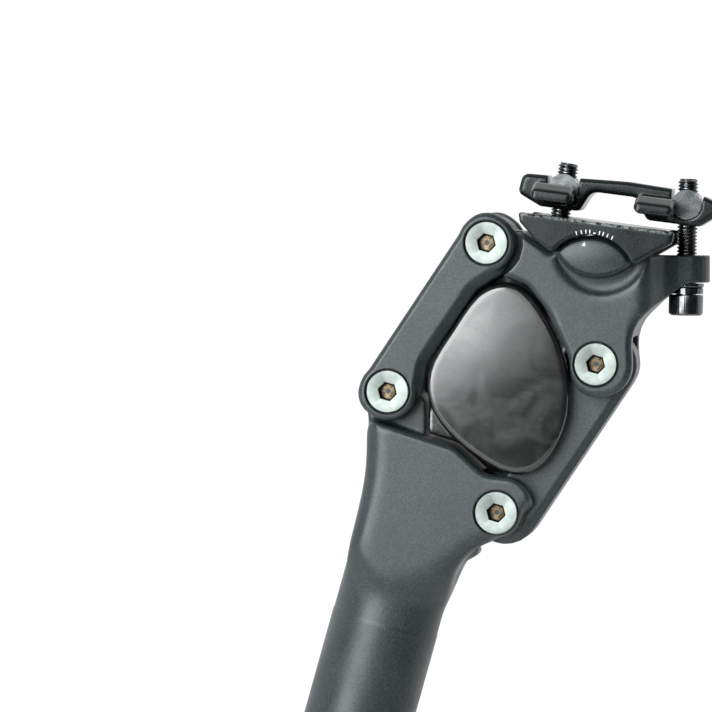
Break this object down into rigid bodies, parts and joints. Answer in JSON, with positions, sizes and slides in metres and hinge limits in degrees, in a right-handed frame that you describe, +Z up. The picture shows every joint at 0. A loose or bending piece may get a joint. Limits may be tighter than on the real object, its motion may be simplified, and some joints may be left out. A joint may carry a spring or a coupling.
{
  "type": "suspension seatpost",
  "caption": "Suspension seatpost: a round post whose forged body carries a parallelogram linkage, an elastomer and a tilting two-bolt clamp for saddle rails.",
  "frame": {"origin": "centre of the post's bottom end, on the post's axis", "axes": "+Z up along the post's axis towards the saddle, +X towards the rear of the bicycle, +Y towards the bicycle's right side"},
  "size_m": [0.0893, 0.0524, 0.3609],
  "materials": {
    "forged_alloy": "satin charcoal anodising with a fine grain",
    "clamp_alloy": "satin black, worn bright along the cradle's top edges",
    "black_steel": "black oxide",
    "turned_steel": "fine turned silver",
    "bronze": "turned bronze",
    "bush_plastic": "matt grey",
    "elastomer_rubber": "smooth black rubber with smudges and dust"
  },
  "bodies": {
    "post": {"post_body": "forged_alloy", "elastomer": "elastomer_rubber", "axle_rear_lower": "bronze", "cap_left_rear_lower": "turned_steel", "cap_right_rear_lower": "turned_steel", "bush_left_front_lower": "bush_plastic", "bush_right_front_lower": "bush_plastic"},
    "front_link": {"front_link": "forged_alloy", "axle_front_lower": "bronze", "axle_front_upper": "bronze", "cap_left_front_lower": "turned_steel", "cap_right_front_lower": "turned_steel", "cap_left_front_upper": "turned_steel", "cap_right_front_upper": "turned_steel"},
    "rear_link": {"rear_link": "forged_alloy", "bush_left_rear_lower": "bush_plastic", "bush_right_rear_lower": "bush_plastic", "bush_left_rear_upper": "bush_plastic", "bush_right_rear_upper": "bush_plastic"},
    "head": {"head": "forged_alloy", "axle_rear_upper": "bronze", "front_dome_washer": "black_steel", "rear_dome_washer": "black_steel", "cap_left_rear_upper": "turned_steel", "cap_right_rear_upper": "turned_steel", "bush_left_front_upper": "bush_plastic", "bush_right_front_upper": "bush_plastic"},
    "clamp": {"lower_cradle": "clamp_alloy", "upper_clamp": "clamp_alloy", "front_barrel_nut": "black_steel", "rear_barrel_nut": "black_steel"},
    "front_bolt": {"front_clamp_bolt": "black_steel", "front_cup_washer": "black_steel"},
    "rear_bolt": {"rear_clamp_bolt": "black_steel", "rear_cup_washer": "black_steel"}
  },
  "joints": [
    {"name": "suspension_travel", "type": "hinge", "parent": "post", "child": "front_link", "pos_m": [-0.0158, 0, 0.278], "axis": [0, 1, 0], "range_deg": [0, 40], "stiffness_Nm_per_rad": 60, "springref_deg": -2.86, "deforming": ["elastomer"]},
    {"name": "rear_link_swing", "type": "hinge", "parent": "post", "child": "rear_link", "pos_m": [0.02402, 0, 0.25288], "axis": [0, 1, 0], "range_deg": [0, 40]},
    {"name": "head_on_front_link", "type": "hinge", "parent": "front_link", "child": "head", "pos_m": [0.00028, 0, 0.32713], "axis": [0, 1, 0], "range_deg": [-40, 0]},
    {"name": "clamp_tilt", "type": "hinge", "parent": "head", "child": "clamp", "pos_m": [0.03223, 0, 0.32463], "axis": [0, 1, 0], "range_deg": [-6, 6]},
    {"name": "front_bolt_swing", "type": "hinge", "parent": "head", "child": "front_bolt", "pos_m": [0.01844, 0, 0.33012], "axis": [0, 1, 0], "range_deg": [-8.4, 8.4]},
    {"name": "rear_bolt_swing", "type": "hinge", "parent": "head", "child": "rear_bolt", "pos_m": [0.05704, 0, 0.33475], "axis": [0, 1, 0], "range_deg": [-7.2, 7.2]}
  ],
  "couplings": [
    {"joint": "rear_link_swing", "follows": "suspension_travel", "ratio": 1},
    {"joint": "head_on_front_link", "follows": "suspension_travel", "ratio": -1},
    {"joint": "front_bolt_swing", "follows": "clamp_tilt", "ratio": 1.386},
    {"joint": "rear_bolt_swing", "follows": "clamp_tilt", "ratio": 1.188}
  ]
}
